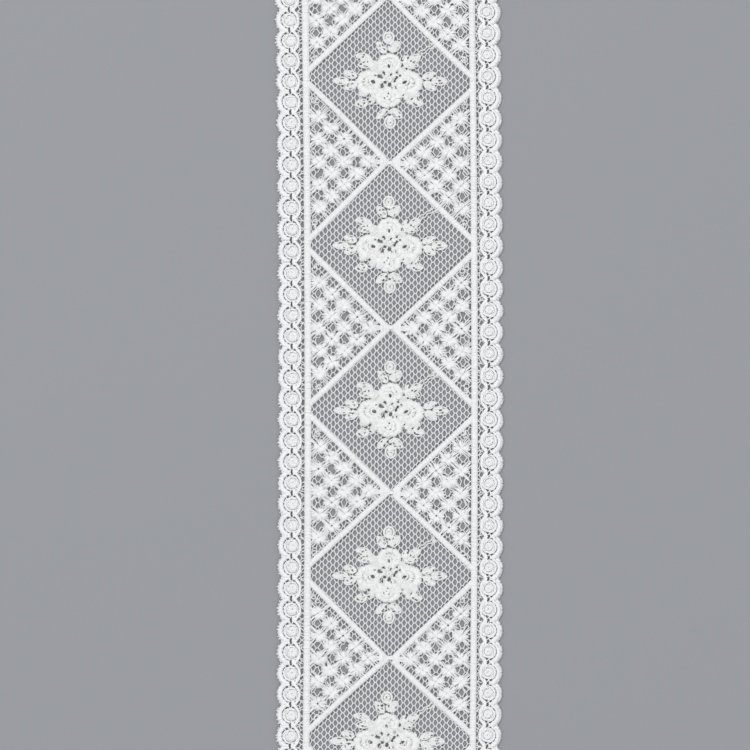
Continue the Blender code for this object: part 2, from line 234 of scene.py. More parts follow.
# %% Open the net under the sprays
ROSES = (
    # x, y, half width, half height, eye x, eye y, eye half width, eye half length, turn of the eye
    (0.1, 5.5, 4.2, 3.55, -0.1, 4.6, 0.32, 0.62, 12),
    (-6.8, -0.7, 4.3, 4.3, -5.35, -0.55, 0.46, 0.72, 60),
    (6.4, -0.8, 4.8, 4.3, 5.0, -0.7, 0.36, 0.84, -60),
    (-0.4, -5.6, 4.6, 3.6, -0.8, -5.3, 0.12, 0.14, 9),
)
SPRAY_HOLES = (
    # x, y, half width, half height, turn in degrees
    (-3.0, 1.1, 0.85, 0.48, -30), (-1.7, 2.3, 0.5, 0.28, -45), (0.5, 1.8, 0.38, 0.22, 40),
    (3.6, 1.6, 0.4, 0.26, 45), (2.3, 0.7, 0.78, 0.26, 45), (1.7, -0.3, 0.32, 0.28, 60),
    (-1.4, -0.75, 0.46, 0.28, -20), (-2.45, -1.6, 0.44, 0.44, 0), (0.0, -1.5, 0.55, 0.56, 0),
    (0.85, -2.45, 0.22, 0.16, -50), (-4.6, 1.55, 0.3, 0.16, -10), (-0.42, -4.4, 0.2, 0.15, 0),
    (-1.67, -5.83, 0.15, 0.22, 0), (-0.04, -6.5, 0.12, 0.12, 0), (4.5, -4.9, 0.26, 0.2, -30),
    (4.4, 4.75, 0.22, 0.18, 0), (5.0, -6.9, 0.26, 0.12, -60), (-0.3, 9.4, 0.4, 0.18, -35),
    (-1.6, 10.2, 0.46, 0.16, -35), (-1.2, 11.5, 0.6, 0.12, 0), (-3.0, 11.3, 0.26, 0.16, 40),
    (0.0, 11.5, 0.2, 0.14, 0), (6.2, 7.25, 0.26, 0.26, 0), (7.1, 6.3, 0.2, 0.24, 0),
    (8.0, 5.9, 0.24, 0.1, -20), (8.7, 4.9, 0.34, 0.09, -40), (8.6, 4.2, 0.34, 0.09, -35),
    (5.75, 3.8, 0.24, 0.14, 0), (7.6, 3.15, 0.22, 0.16, 0), (8.8, 2.8, 0.34, 0.2, -30),
    (13.5, -0.15, 0.24, 0.18, 0), (14.6, 1.5, 0.3, 0.1, 70), (16.4, -0.15, 0.5, 0.08, 0),
    (16.8, -1.0, 0.55, 0.08, 12), (7.3, -6.2, 0.2, 0.22, 0), (8.0, -7.6, 0.28, 0.24, 0),
    (8.8, -8.1, 0.36, 0.16, -15), (9.4, -5.8, 0.3, 0.24, 0), (0.0, -9.4, 0.4, 0.2, 25),
    (-1.0, -10.4, 0.36, 0.13, 45), (-0.1, -11.3, 0.42, 0.28, 0), (-2.0, -11.9, 0.3, 0.12, 0),
    (1.1, -11.1, 0.38, 0.12, -35), (1.6, -12.0, 0.4, 0.11, -10), (3.1, -12.0, 0.2, 0.12, -20),
    (-6.5, -7.1, 0.28, 0.24, 0), (-7.1, -6.3, 0.18, 0.16, 0), (-8.7, -5.6, 0.34, 0.09, -10),
    (-10.1, -8.0, 0.36, 0.12, -35), (-8.4, -7.6, 0.32, 0.07, 45), (-13.0, 0.0, 0.28, 0.24, 0),
    (-13.6, -1.9, 0.16, 0.24, 0), (-12.2, -1.2, 0.4, 0.2, 30), (-11.9, 1.45, 0.32, 0.1, -45),
    (-15.8, 0.65, 0.3, 0.08, 5), (-9.9, 6.9, 0.36, 0.1, -30), (-8.6, 7.6, 0.36, 0.07, 25),
    (-9.3, 5.3, 0.32, 0.22, 20), (-8.5, 6.0, 0.42, 0.09, 10), (-8.0, 4.7, 0.26, 0.1, 0),
    (-7.1, 6.1, 0.12, 0.24, 0), (-6.9, 3.6, 0.24, 0.1, 20),
)
HOLE_REACH = (0.3, 0.46)
SLIT = 0.15
SLIT_SPREAD = 0.05
diamond_rows = [REPEAT * (DIAMONDS / 2 - 0.5 - index) for index in range(DIAMONDS)]
openings = [rose[4:8] for rose in ROSES[:3]] + [hole[:4] for hole in SPRAY_HOLES if hole[3] > SLIT]
openings = np.array([
    (PATTERN_X + x, middle + y, HOLE_REACH[0] + HOLE_REACH[1] * (half_width + half_height))
    for middle in diamond_rows for x, y, half_width, half_height in openings])


def join_cells(places, reach):
    """Dissolve the walls of the net whose middle is within reach of one of the places."""
    bpy.ops.object.mode_set(mode="EDIT")
    select_parts("edges", lambda at: (
        np.hypot(places[:, 0] - at.x / MM, places[:, 1] - at.y / MM) < reach).any())
    bpy.ops.mesh.dissolve_edges(use_verts=False)
    bpy.ops.object.mode_set(mode="OBJECT")
    print("net cells left:", len(net.data.polygons))


join_cells(openings, openings[:, 2])

# %% [markdown]
# ## The triangles of the stars
# Between a rail and two zigzag lines lies a triangle filled with stars, whose stitches pull the net
# about: the cells between them are crooked, and here and there two have torn into one. So the sizes of
# the zigzags and of the star pattern come here too.

# %% Tear the net between the stars
RAIL_X = 27.2
LINE_SLOPE = 0.972
LINE_TURN_X = 1.28
STAR_COLUMNS = 5
STAR_FIRST_X = 3.6
STAR_STEP = (4.1, 3.72)
crossings = [REPEAT * (DIAMONDS / 2 - index) for index in range(DIAMONDS + 1)]
TEAR_REACH = 0.5
TORN_SHARE = 0.3
between_stars = np.array([
    (PATTERN_X + side * (RAIL_X - STAR_FIRST_X - column * STAR_STEP[0]), crossing + row * STAR_STEP[1])
    for crossing in crossings for side in (-1, 1) for column in range(STAR_COLUMNS)
    for row in range(column - STAR_COLUMNS + 2, STAR_COLUMNS - column - 1, 2)])
join_cells(between_stars[rng.random(len(between_stars)) < TORN_SHARE], TEAR_REACH)

# %% [markdown]
# ## Thread for the net
# A Wireframe modifier turns each wall of the flat honeycomb into a thread. Before that the net is
# pulled as a real one is: its middle is narrowed, its rows drift, the cells between the stars are pushed
# apart, and every corner is shaken by a few hundredths of a millimetre.

# %% Shake, lay and thicken the net
NET_SHAKE = 0.055
PULL = 0.36
PULL_REACH = 1.4
NET_PINCH = 0.35
NET_DRIFT = 0.2
DRIFT_WAVES = (6.1, 13.7)
NET_HEIGHT = 0.55
NET_DEPTH = 1.55
NET_RIPPLE = 0.05
RIPPLE_WAVES = (3.1, 4.3)
TRIANGLE_INSET = 0.8


def place_of(piece):
    spots = np.empty(len(piece.data.vertices) * 3)
    piece.data.vertices.foreach_get("co", spots)
    return spots.reshape(-1, 3)


def put(piece, spots):
    piece.data.vertices.foreach_set("co", spots.ravel())
    piece.data.update()


spots = place_of(net) / MM
from_crossing = np.abs(spots[:, 1, None] - crossings).min(axis=1)
in_triangle = np.abs(spots[:, 0] - PATTERN_X) > LINE_TURN_X + from_crossing / LINE_SLOPE + TRIANGLE_INSET
away = spots[:, None, :2] - between_stars
spread = np.exp(-(np.linalg.norm(away, axis=2) / PULL_REACH) ** 2)
spots[:, :2] += PULL * (away * spread[:, :, None]).sum(axis=1)
spots[:, 0] -= NET_PINCH * np.sin(math.pi * spots[:, 0] / NET_HALF)
spots[:, 1] += NET_DRIFT * np.sin((spots[:, :2] / DRIFT_WAVES).sum(axis=1))
shake = np.where(in_triangle, 2.0 * NET_SHAKE, NET_SHAKE)
spots[:, :2] += rng.normal(0.0, 1.0, (len(spots), 2)) * shake[:, None]
spots[:, 0], spots[:, 1] = lay(spots[:, 0], spots[:, 1])
put(net, spots * MM)
wires = net.modifiers.new("threads", "WIREFRAME")
wires.thickness = NET_THREAD * MM
wires.use_even_offset = True
wires.use_boundary = True
bpy.ops.object.modifier_apply(modifier=wires.name)
spots = place_of(net) / MM
spots[:, 2] = NET_HEIGHT + spots[:, 2] * NET_DEPTH
spots[:, 2] += NET_RIPPLE * np.sin(spots[:, :2] / RIPPLE_WAVES).prod(axis=1)
put(net, spots * MM)
bpy.ops.object.shade_smooth()
net.data.materials.append(finishes["net"])
print("net triangles:", sum(len(face.vertices) - 2 for face in net.data.polygons))

# %% [markdown]
# ## One stitch
# Everything else is stitched. A stitch leaves the cloth, crosses it and dives back, so it is a short
# thread with two pointed ends. It is modelled once, one unit long, from a four-sided cylinder: its long
# edges are divided for a ring in the middle, and each end is extruded and merged to a point.

# %% Model the stitch
END_TAPER = 0.07


def model_stitch():
    deselect_all()
    bpy.ops.mesh.primitive_cylinder_add(
        vertices=4, radius=0.5, depth=1.0 - 2 * END_TAPER, location=(0.5, 0.0, 0.0),
        rotation=(0.0, math.pi / 2, 0.0))
    stitch = bpy.context.object
    stitch.name = "stitch"
    bpy.ops.object.transform_apply(location=True, rotation=True, scale=True)
    bpy.ops.object.mode_set(mode="EDIT")
    select_parts("edges", lambda at: abs(at.x - 0.5) < 0.01)
    bpy.ops.mesh.subdivide(number_cuts=1)
    for end, push in ((END_TAPER, -END_TAPER), (1.0 - END_TAPER, END_TAPER)):
        select_parts("faces", lambda at: abs(at.x - end) < 0.01)
        bpy.ops.mesh.extrude_region_move(TRANSFORM_OT_translate={"value": (push, 0.0, 0.0)})
        bpy.ops.mesh.merge(type="CENTER")
    bpy.ops.object.mode_set(mode="OBJECT")
    return stitch


stitch = model_stitch()
stitch_spots = place_of(stitch)
stitch_loops = np.array([index for face in stitch.data.polygons for index in face.vertices])
stitch_sizes = np.array([len(face.vertices) for face in stitch.data.polygons])


def unwrap_stitch():
    """Where each corner of the stitch is along and around its thread."""
    around = np.arctan2(stitch_spots[:, 2], stitch_spots[:, 1]) / (2 * math.pi) % 1.0
    tips = np.hypot(stitch_spots[:, 1], stitch_spots[:, 2]) < 0.01
    corners = []
    for face in stitch.data.polygons:
        turns = np.array([around[index] for index in face.vertices if not tips[index]])
        wraps = turns.max() - turns.min() > 0.5
        for index in face.vertices:
            turn = turns.mean() if tips[index] else around[index]
            corners.append((stitch_spots[index, 0], turn + (1.0 if wraps and turn < 0.5 else 0.0)))
    return np.array(corners)


stitch_turns = unwrap_stitch()
bpy.data.objects.remove(stitch, do_unlink=True)
print("stitch:", len(stitch_spots), "points,", len(stitch_sizes), "faces")

# %% [markdown]
# ## The needle
# A machine is fed a list of stitches, and so is this script. Each row says where a stitch starts and
# ends, how far it bows to the side, how wide and thick its thread is, and how high it lies: foot is the
# height of its ends and rise that of its middle. Small seeded errors keep the rows from looking ruled.

# %% Rows of stitches
YARNS = {
    # width, thickness, foot, rise
    "underlay": (1.7, 0.44, 0.42, 0.62),
    "padding": (1.1, 0.44, 0.6, 0.86),
    "line": (0.54, 0.21, 0.62, 1.14),
    "scallop": (0.56, 0.21, 0.58, 1.12),
    "coil": (0.52, 0.2, 1.1, 1.22),
    "ring": (0.5, 0.26, 0.98, 1.12),
    "bridge": (0.36, 0.3, 0.76, 0.92),
    "picot": (0.3, 0.3, 0.6, 0.75),
    "petal": (0.48, 0.22, 0.87, 1.2),
    "running": (0.38, 0.24, 0.86, 1.04),
    "strand": (0.44, 0.22, 0.8, 1.05),
    "outer_petal": (0.5, 0.2, 0.8, 1.12),
    "inner_petal": (0.46, 0.2, 0.98, 1.17),
    "eye": (0.44, 0.22, 1.02, 1.22),
    "patch": (0.5, 0.22, 0.8, 1.1),
    "leaf": (0.48, 0.22, 0.74, 1.04),
    "outline": (0.42, 0.3, 0.9, 1.08),
}
END_ERROR = 0.04
RISE_ERROR = 0.025
WIDTH_ERROR = 0.03
EDGE_CLEAR = 0.1
SHORTEST = 0.3


def points(x, y):
    """Pairs of x and y, one to a row."""
    return np.stack(np.broadcast_arrays(x, y), axis=-1)


def on_oval(turns, half_width=1.0, half_height=None):
    """Points about the origin at angles in degrees: on a circle, or on an oval if a half height is given."""
    turns = np.radians(turns)
    high = half_width if half_height is None else half_height
    return points(half_width * np.cos(turns), high * np.sin(turns))


def turned(spots, turn):
    """Spots turned about the origin, in degrees."""
    cosine, sine = math.cos(math.radians(turn)), math.sin(math.radians(turn))
    return spots @ np.array([[cosine, sine], [-sine, cosine]])


def stitches(starts, ends, yarn, bow=0.0, lift=0.0):
    """Rows for stitches of one yarn: x, y, x, y, bow, width, thickness, foot, rise."""
    starts, ends = np.atleast_2d(starts, ends)
    count = len(starts)
    width, thickness, foot, rise = YARNS[yarn]
    return np.column_stack([
        starts + rng.normal(0.0, END_ERROR, (count, 2)), ends + rng.normal(0.0, END_ERROR, (count, 2)),
        np.full(count, bow), width * rng.normal(1.0, WIDTH_ERROR, count), np.full(count, thickness),
        np.full(count, foot), rise + lift + rng.normal(0.0, RISE_ERROR, count)])


def moved(table, x, y, turn=0.0):
    """The same stitches turned about the origin, in degrees, and then moved."""
    placed = table.copy()
    for end in (slice(0, 2), slice(2, 4)):
        placed[:, end] = turned(table[:, end], turn) + (x, y)
    return placed


def even_steps(path, pitch):
    """Places about a pitch apart along a path, with the direction of the path at each."""
    path = np.asarray(path, float)
    reach = np.concatenate([[0.0], np.cumsum(np.linalg.norm(np.diff(path, axis=0), axis=1))])
    count = max(1, round(reach[-1] / pitch))
    marks = (np.arange(count) + 0.5) * reach[-1] / count

    def at(where):
        return points(np.interp(where, reach, path[:, 0]), np.interp(where, reach, path[:, 1]))

    ahead = at(marks + pitch / 2) - at(marks - pitch / 2)
    return at(marks), ahead / np.linalg.norm(ahead, axis=1)[:, None], reach[-1] / count


def across(path, width, yarn, pitch, lean=0.0, lift=0.0):
    """Satin: stitches side by side across a path. Lean shifts each stitch's end forward."""
    places, ahead, _ = even_steps(path, pitch)
    sideways = points(-ahead[:, 1], ahead[:, 0])
    return stitches(
        places - sideways * width / 2 - ahead * lean / 2,
        places + sideways * width / 2 + ahead * lean / 2, yarn, lift=lift)


def along(path, yarn, pitch, overlap=0.15, lift=0.0):
    """A running line: stitches end to end along a path."""
    places, ahead, step = even_steps(path, pitch)
    reach = ahead * (step / 2 + overlap)
    return stitches(places - reach, places + reach, yarn, lift=lift)


def open_up(table, holes):
    """Cut stitches short at openings, each an oval: x, y, half width, half height, turn in degrees."""
    marks = np.linspace(0.0, 1.0, 41)
    for x, y, half_width, half_height, turn in holes:
        start, ahead = table[:, None, 0:2], table[:, None, 2:4] - table[:, None, 0:2]
        spots = turned(start + ahead * marks[None, :, None] - (x, y), -turn)
        spots /= half_width + EDGE_CLEAR, half_height + EDGE_CLEAR
        inside = (spots ** 2).sum(axis=2) < 1.0
        crossed = inside.any(axis=1)
        first = marks[inside.argmax(axis=1)][:, None]
        last = marks[::-1][inside[:, ::-1].argmax(axis=1)][:, None]
        before, after = table.copy(), table.copy()
        before[:, 2:4] = start[:, 0] + ahead[:, 0] * first
        before[:, [4]] *= first
        after[:, 0:2] = start[:, 0] + ahead[:, 0] * last
        after[:, [4]] *= 1.0 - last
        table = np.concatenate([table[~crossed], before[crossed], after[crossed]])
        table = table[np.hypot(*(table[:, 2:4] - table[:, 0:2]).T) > SHORTEST]
    return table


def oval(x, y, length, width, direction, yarn, lift=0.0, pitch=0.42):
    """A satin patch: stitches side by side across a shape that is round at both ends."""
    share = (np.arange(round(length / pitch)) + 0.5) / round(length / pitch)
    half = width / 2 * np.sqrt(1.0 - (2.0 * share - 1.0) ** 2)
    middle = (share - 0.5) * length
    return moved(stitches(points(middle, -half), points(middle, half), yarn, lift=lift), x, y, direction)


print("yarns:", len(YARNS))

# %% [markdown]
# ## Sewing
# The needle copies the one stitch along each row, bends it over the cloth, lays it with the strip, and
# joins the copies into one mesh, so each part of the embroidery is a piece of its own. The strip is cut
# plainly at both ends.

# %% Sew rows into a piece
ARCH_POWER = 8
total_triangles = 0


def sew(name, tables, slot, *nodes):
    """Make one piece of joined stitches, which stands for the named solids of the frame."""
    global total_triangles
    table = np.concatenate(tables)
    table = table[np.abs(table[:, [1, 3]].mean(axis=1)) < HALF].copy()
    table[:, [1, 3]] = np.clip(table[:, [1, 3]], -HALF, HALF)
    start, ahead = table[:, 0:2], table[:, 2:4] - table[:, 0:2]
    bow, width, thickness, foot, rise = (table[:, [column]] for column in range(4, 9))
    length = np.linalg.norm(ahead, axis=1)[:, None]
    sideways = points(-ahead[:, 1], ahead[:, 0]) / length
    share, side, up = stitch_spots.T
    arch = 1.0 - (2.0 * share - 1.0) ** ARCH_POWER
    offset = width * side + bow * 4.0 * share * (1.0 - share)
    x = start[:, [0]] + ahead[:, [0]] * share + sideways[:, [0]] * offset
    y = start[:, [1]] + ahead[:, [1]] * share + sideways[:, [1]] * offset
    z = foot + (rise - foot) * arch + thickness * up
    x, y = lay(x, y)
    spots = np.stack([x, y, z], axis=2).reshape(-1, 3) * MM
    count = len(table)
    loops = (stitch_loops + len(stitch_spots) * np.arange(count)[:, None]).ravel()
    sizes = np.tile(stitch_sizes, count)
    mesh = bpy.data.meshes.new(name)
    mesh.vertices.add(len(spots))
    mesh.vertices.foreach_set("co", spots.ravel())
    mesh.loops.add(len(loops))
    mesh.loops.foreach_set("vertex_index", loops)
    mesh.polygons.add(len(sizes))
    mesh.polygons.foreach_set("loop_start", np.concatenate([[0], np.cumsum(sizes)[:-1]]))
    mesh.update(calc_edges=True)
    tone = mesh.attributes.new("tone", "FLOAT", "POINT")
    tone.data.foreach_set("value", np.repeat(rng.uniform(0.1, 0.7, count), len(stitch_spots)))
    thread_map = mesh.uv_layers.new(name="thread")
    turns = np.stack([length * stitch_turns[:, 0], np.tile(stitch_turns[:, 1], (count, 1))], axis=2)
    thread_map.data.foreach_set("uv", turns.ravel())
    mesh.materials.append(finishes[slot])
    piece = bpy.data.objects.new(name, mesh)
    bpy.context.scene.collection.objects.link(piece)
    deselect_all()
    piece.select_set(True)
    bpy.context.view_layer.objects.active = piece
    bpy.ops.object.shade_smooth()
    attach(piece, "root")
    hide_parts(*nodes)
    triangles = int((sizes - 2).sum())
    total_triangles += triangles
    print(f"{name}: {count} stitches, {triangles} triangles")
    return piece


# %% [markdown]
# ## Rails and zigzag lines
# Two straight satin rails run down the strip. Between them two zigzags frame the diamonds: they touch
# at each crossing, where both turn back, and run into the rails, so every diamond is a little blunt.
# Satin is a row of stitches that lie side by side across the line, over an underlay of longer stitches
# that lifts them.

# %% Sew the trellis
RAIL_WIDTH = {-1: 2.5, 1: 2.36}
RAIL_SHIFT = 0.11
LINE_WIDTH = 2.1
LINE_PITCH = 0.38
TURN_OVERLAP = 0.35
RAIL_OVERLAP = 0.4
RUN_SLIPS = {
    # side, way: how far each run is pulled up the strip, at its crossing and at the rail
    (-1, 1): ((0.0, 0.6), (0.0, 1.5), (-0.42, 0.73), (0.24, 0.5), (-0.62, 0.16), (0.0, 0.0)),
    (-1, -1): ((0.36, 0.85), (0.4, -0.39), (-0.32, -0.43), (0.2, 1.0), (-0.2, 0.9), (0.0, 0.3)),
    (1, 1): ((0.2, -0.8), (0.05, -1.05), (-0.16, -0.62), (0.24, -0.38), (-0.21, -0.15), (0.0, 0.0)),
    (1, -1): ((0.2, -0.8), (-0.1, -0.68), (-0.32, -0.73), (-0.7, -0.12), (-1.1, -0.05), (0.0, 0.1)),
}
RUN_BOWS = {
    # side, way, number of the crossing: how far the middle of the run lies up the strip
    (-1, 1, 1): 0.4, (-1, -1, 4): 0.4, (1, -1, 0): -0.3,
}
JOINT_HALF = 0.55
JOINT_WIDTH = 2.6


def rail(side):
    x = PATTERN_X + side * (RAIL_X + RAIL_SHIFT)
    return [(x, -HALF), (x, HALF)]


def zigzag_runs(side):
    """The runs of one zigzag, each from a crossing to the rail. A few of them bow a little."""
    reach = RAIL_X - RAIL_OVERLAP
    share = np.linspace(0.0, 1.0, 9)[:, None]
    runs = []
    for way in (-1, 1):
        for number, (near, far) in enumerate(RUN_SLIPS[side, way]):
            start = np.array([PATTERN_X + side * (LINE_TURN_X - TURN_OVERLAP), crossings[number] + near])
            rise = way * (reach - LINE_TURN_X) * LINE_SLOPE + far
            end = np.array([PATTERN_X + side * reach, crossings[number] + rise])
            bow = np.array([[0.0, RUN_BOWS.get((side, way, number), 0.0)]])
            runs.append(start + (end - start) * share + bow * 4.0 * share * (1.0 - share))
    return runs


trellis_rows = []
for side in (-1, 1):
    for path in zigzag_runs(side):
        trellis_rows += [
            along(path, "underlay", 3.0, 0.5),
            across(path, LINE_WIDTH, "line", LINE_PITCH, 0.25, 0.02 * side),
        ]
    trellis_rows += [
        along(rail(side), "underlay", 3.0, 0.5),
        across(rail(side), RAIL_WIDTH[side], "line", LINE_PITCH, 0.2, 0.08),
    ]
for crossing in crossings:
    joint = [(PATTERN_X, crossing + JOINT_HALF), (PATTERN_X, crossing - JOINT_HALF)]
    trellis_rows += [along(joint, "underlay", 1.1), across(joint, JOINT_WIDTH, "line", LINE_PITCH)]
trellis = sew("trellis_satin", trellis_rows, "line", "trellis_lines")

# %% [markdown]
# ## Ring-and-scallop edging
# Each edge is a chain of little buttons. A button is a coil of thread with loose turns round it. Short
# bridges, with pinholes between them, join it to a satin scallop that is rimmed with tiny picots, and a
# wavy cord runs inside the chain. Between two buttons the threads part round a slim opening. The left
# edge is the right one turned half round, but its sizes differ a little, so each has its own tables.

# %% Tables of one button, drawn for the right edge
SCALLOP_PITCH = 0.4
# Rims and feet of the satin scallops, as angles in degrees and radii, seen from the button
RIMS = {
    "left": ((-47, 4.84), (-24, 4.74), (-2, 4.66), (20, 4.61), (44, 4.62)),
    "right": ((-53, 4.56), (-38, 4.26), (-21, 4.16), (-10, 4.06), (10, 4.04), (24, 3.88), (46, 3.6)),
}
FEET = {
    "left": ((-75, 2.95), (-59, 3.08), (-32, 3.1), (0, 2.98), (28, 2.8), (45, 2.62), (57, 2.66)),
    "right": ((-75, 2.9), (-46, 2.7), (4, 2.72), (42, 2.72), (54, 2.58), (70, 2.8)),
}
# How far above and below the middle of the button its scallop meets the next ones
VALLEYS = {"left": (3.25, 3.62), "right": (3.05, 3.9)}
# The coil in the middle: x, y, radius
COILS = {"left": (-0.12, -0.25, 1.4), "right": (-0.02, 0.0, 1.22)}
COIL_PITCH = 0.36
# Turns of thread round the coil, as angles and radii. Slits are left between them
TURNS = {
    "left": (
        ((200, 1.8), (270, 1.98), (360, 2.22), (450, 2.06), (540, 2.46), (585, 2.62)),
        ((75, 2.3), (57, 2.32), (45, 2.42), (28, 2.42), (0, 2.6), (-32, 2.64), (-50, 2.45), (-65, 2.3)),
        ((-60, 1.64), (0, 1.62), (90, 1.45), (140, 1.42)),
        ((240, 2.14), (300, 2.18)),
    ),
    "right": (
        ((110, 2.42), (90, 2.45), (52, 2.04), (0, 2.05), (-31, 1.88), (-73, 1.56), (-161, 1.56), (-200, 1.7),
         (-250, 1.86), (-270, 1.9), (-308, 1.48), (-360, 1.48), (-400, 1.36)),
        ((100, 2.2), (148, 2.28), (180, 2.14), (207, 2.06), (233, 1.94), (260, 1.95)),
        ((75, 2.4), (52, 2.42), (42, 2.36), (4, 2.36), (-22, 2.34), (-50, 2.32), (-80, 2.2)),
        ((-40, 2.0), (-60, 1.9), (-90, 1.85), (-120, 1.85), (-150, 1.95)),
    ),
}
# Bridges to the scallop and to the cord, as angles in degrees
BRIDGES_OUT = {"left": (74, 42, 12, -14, -45, -70), "right": (86, 57, 20, -54, -68)}
BRIDGES_IN = (122, 142, 160, 178, 198, 214)
PICOTS = (-47, -34, -21, -8, 5, 18, 30, 43)
PICOT_REACH = (0.16, 0.56)
# Openings: x, y, half width, half height, turn in degrees. The first one lies between two buttons
OPENINGS = {
    "left": (
        (0.4, -3.54, 0.34, 0.66, 0),
        (1.5, -2.5, 0.3, 0.21, 40),
        (-0.6, -2.5, 0.36, 0.23, -30),
        (1.4, 2.2, 0.24, 0.1, -35),
        (2.4, 1.3, 0.1, 0.24, 28),
    ),
    "right": (
        (0.1, -3.38, 0.32, 0.5, 0),
        (0.88, -2.54, 0.2, 0.24, -10),
        (-0.6, -2.12, 0.3, 0.23, 0),
        (1.0, 2.66, 0.22, 0.12, -35),
    ),
}
# The wavy cord inside the chain, as x and share of the pitch, and the threads of the neck at mid-pitch
CORD = (
    (-1.15, 0.5), (-1.85, 0.38), (-2.5, 0.25), (-2.78, 0.0), (-2.5, -0.25), (-1.85, -0.38), (-1.15, -0.5))
NECKS = {"left": (-0.62, -0.34, -0.08), "right": (-0.9, -0.64)}
# Single threads that part the openings from each other: from x, y to x, y
STEMS = {
    "left": ((0.3, -2.2, 0.55, -2.85), (0.45, -2.55, 1.3, -3.3), (0.16, -2.35, -0.4, -3.2)),
    "right": ((0.18, -2.0, 0.18, -2.75), (0.12, -2.6, 1.0, -3.25), (0.22, -2.6, -0.6, -3.05)),
}


# %% Stitches of one button
def coil(x, y, radius, pitch):
    """A spiral of short stitches from the rim of a button to its middle."""
    angles = np.linspace(0.0, 360.0 * radius / pitch, 120)
    return along(on_oval(angles, radius - pitch * angles / 360.0) + (x, y), "coil", 0.8, 0.25)


def polar(corners):
    """A path through corners that are given as angle and radius."""
    angles, radii = np.transpose(corners)
    number = np.arange(len(corners))
    share = np.linspace(0, number[-1], 4 * len(corners) + 24)
    return on_oval(np.interp(share, number, angles), np.interp(share, number, radii))


def button(name, pitch):
    """One unit of an edging, about the middle of its button."""
    tables = [oval(0.0, 0.0, 4.2, 4.2, 0, "padding", pitch=0.85), coil(*COILS[name], COIL_PITCH)]
    tables += [along(polar(corners), "ring", 1.0, 0.2) for corners in TURNS[name]]
    for turns, error, near, far in ((BRIDGES_OUT[name], 2.0, 2.3, 3.3), (BRIDGES_IN, 3.0, 2.0, 2.8)):
        for turn in turns:
            turn += rng.normal(0.0, error)
            tables.append(stitches(on_oval(turn, near), on_oval(turn, far), "bridge"))
    angles = np.arange(-80.0, 80.0, math.degrees(SCALLOP_PITCH / RIMS[name][2][1]))
    ways = on_oval(angles)
    rise = ways[:, 1]
    valley = np.where(rise > 0, VALLEYS[name][0], VALLEYS[name][1]) / np.maximum(np.abs(rise), 0.1)
    rim = np.minimum(np.interp(angles, *np.transpose(RIMS[name])), valley + 0.18)
    foot = np.interp(angles, *np.transpose(FEET[name]))
    satin = rim - foot > 0.25
    tables.append(stitches((ways * foot[:, None])[satin], (ways * rim[:, None])[satin], "scallop"))
    tables.append(along(polar([(-60, 3.9), (0, 3.9), (56, 3.8)]), "underlay", 2.0))
    for turn in PICOTS:
        tip = turn + rng.normal(0.0, 2.5)
        base = np.interp(tip, *np.transpose(RIMS[name]))
        reach = base + rng.uniform(*PICOT_REACH)
        for aside in (-4, 4):
            tables.append(stitches(on_oval(tip + aside, base - 0.7), on_oval(tip, reach), "picot"))
    for aside, part in ((0.0, CORD), (0.32, CORD), (0.62, CORD[:3]), (0.62, CORD[-3:])):
        tables.append(along([(x + aside, y * pitch) for x, y in part], "ring", 1.0, 0.2))
    for x in NECKS[name]:
        tables.append(stitches((x - 0.25, -1.9), (x - 0.25, 1.9 - pitch), "ring", bow=0.25))
    for share in np.array([-0.4, 0.0, 0.32]) + rng.uniform(-0.1, 0.1, 3):
        reach = np.interp(share, *np.transpose(CORD)[::-1, ::-1])
        slant = rng.choice([-1.1, -0.6, 0.7, 1.2])
        tables.append(stitches((-3.9, share * pitch), (reach, share * pitch + slant), "bridge"))
    above = [(x, y + pitch, *rest) for x, y, *rest in OPENINGS[name][:1]]
    cut = open_up(np.concatenate(tables), [*OPENINGS[name], *above])
    stems = [stitches(row[:2], row[2:], "running") for row in STEMS[name]]
    return np.concatenate([cut, *stems])


print("stitches in one button:", len(button("left", 6.9)))

# %% Sew both edgings
EDGINGS = (
    # name, side, button x, pitch, first
    ("left", -1, 32.08, 6.9, 127.8),
    ("right", 1, 32.28, 6.97, 130.7),
)
# A pulled thread has let the buttons slip along the strip: how far down they lie, by their place
SLIPS = {
    "left": (
        (-110, 0.0), (-80, 0.3), (-55, 0.0), (-25, 0.1), (0, 0.12), (16, 0.29), (44, 0.38), (57, -0.2),
        (71, -0.75), (99, -0.79), (113, -0.49), (126, -0.1)),
    "right": (
        (-110, 0.2), (-94, 0.38), (-66, 0.94), (-39, 1.44), (-25, 1.4), (-11, 1.67), (3, 1.56), (16, 0.91),
        (30, 0.57), (44, 0.34), (57, 0.1), (71, 0.1), (85, 0.23), (113, 0.26), (126, 0.03)),
}

for name, side, button_x, pitch, first in EDGINGS:
    reach = HALF + pitch / 2
    start = first + pitch * math.floor((reach - first) / pitch)
    places = start - pitch * np.arange(math.ceil((start + reach) / pitch))
    places -= np.interp(places, *np.transpose(SLIPS[name]))
    tables = [moved(button(name, pitch), side * button_x, y, 0 if side > 0 else 180) for y in places]
    sew(f"{name}_edging_stitches", tables, "edging", f"edging_{name}")

# %% [markdown]
# ## Stars
# The triangles between a rail and the zigzags are filled with little stars, in columns that get shorter
# towards the crossing. A star is four fans of stitches. Four threads leave it on every slant, and end
# among those of the next star or at the lines round the triangle. Some are carried over the star.

# %% Stitches of a star
STAR_REACH = (2.84, 2.3)
FAN_STITCHES = 8
FAN_HALF_ANGLES = (31.0, 35.0)
FAN_ERROR = 1.8
STAR_EYES = (0.05, 0.05, 0.24)
STRANDS = np.linspace(-0.86, 0.86, 4)
STRAND_ERROR = 0.34
STRAND_REACH = (0.46, 0.8)
CARRIED_SHARE = 0.4
CARRIED_REACH = 0.45


